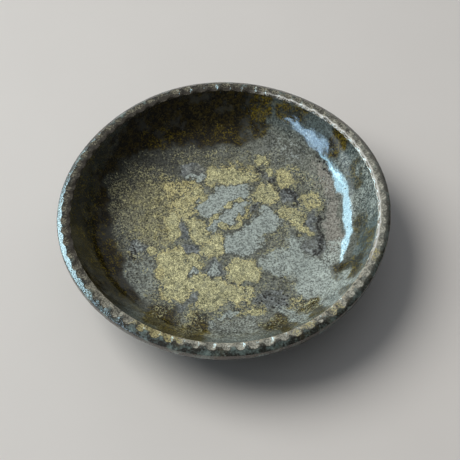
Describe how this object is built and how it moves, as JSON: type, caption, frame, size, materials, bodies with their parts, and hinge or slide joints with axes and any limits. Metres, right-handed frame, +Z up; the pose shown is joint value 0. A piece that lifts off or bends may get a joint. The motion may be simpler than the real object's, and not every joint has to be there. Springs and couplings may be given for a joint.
{
  "type": "rounded bowl",
  "caption": "Shallow round stoneware bowl with a flat floor, sloping wall, scooped rim band, bare foot ring and mottled olive glaze.",
  "frame": {"origin": "middle of the foot ring, on the surface that the bowl stands on", "axes": "+Z up along the bowl's axis; +X to the right and +Y away from the viewer, as in the picture"},
  "size_m": [0.13, 0.13, 0.0288],
  "materials": {
    "bare_stoneware": "matte, fine sandy grain",
    "rim_glaze": "glossy, broken pale over edges",
    "inner_glaze": "glossy olive grey with matte ochre crystal patches",
    "outer_glaze": "glossy dark green grey"
  },
  "bodies": {
    "root": {"clay_dish": "bare_stoneware", "rim_band": "rim_glaze", "foot_ring": "bare_stoneware", "inner_glaze": "inner_glaze", "outer_glaze": "outer_glaze"}
  },
  "joints": []
}
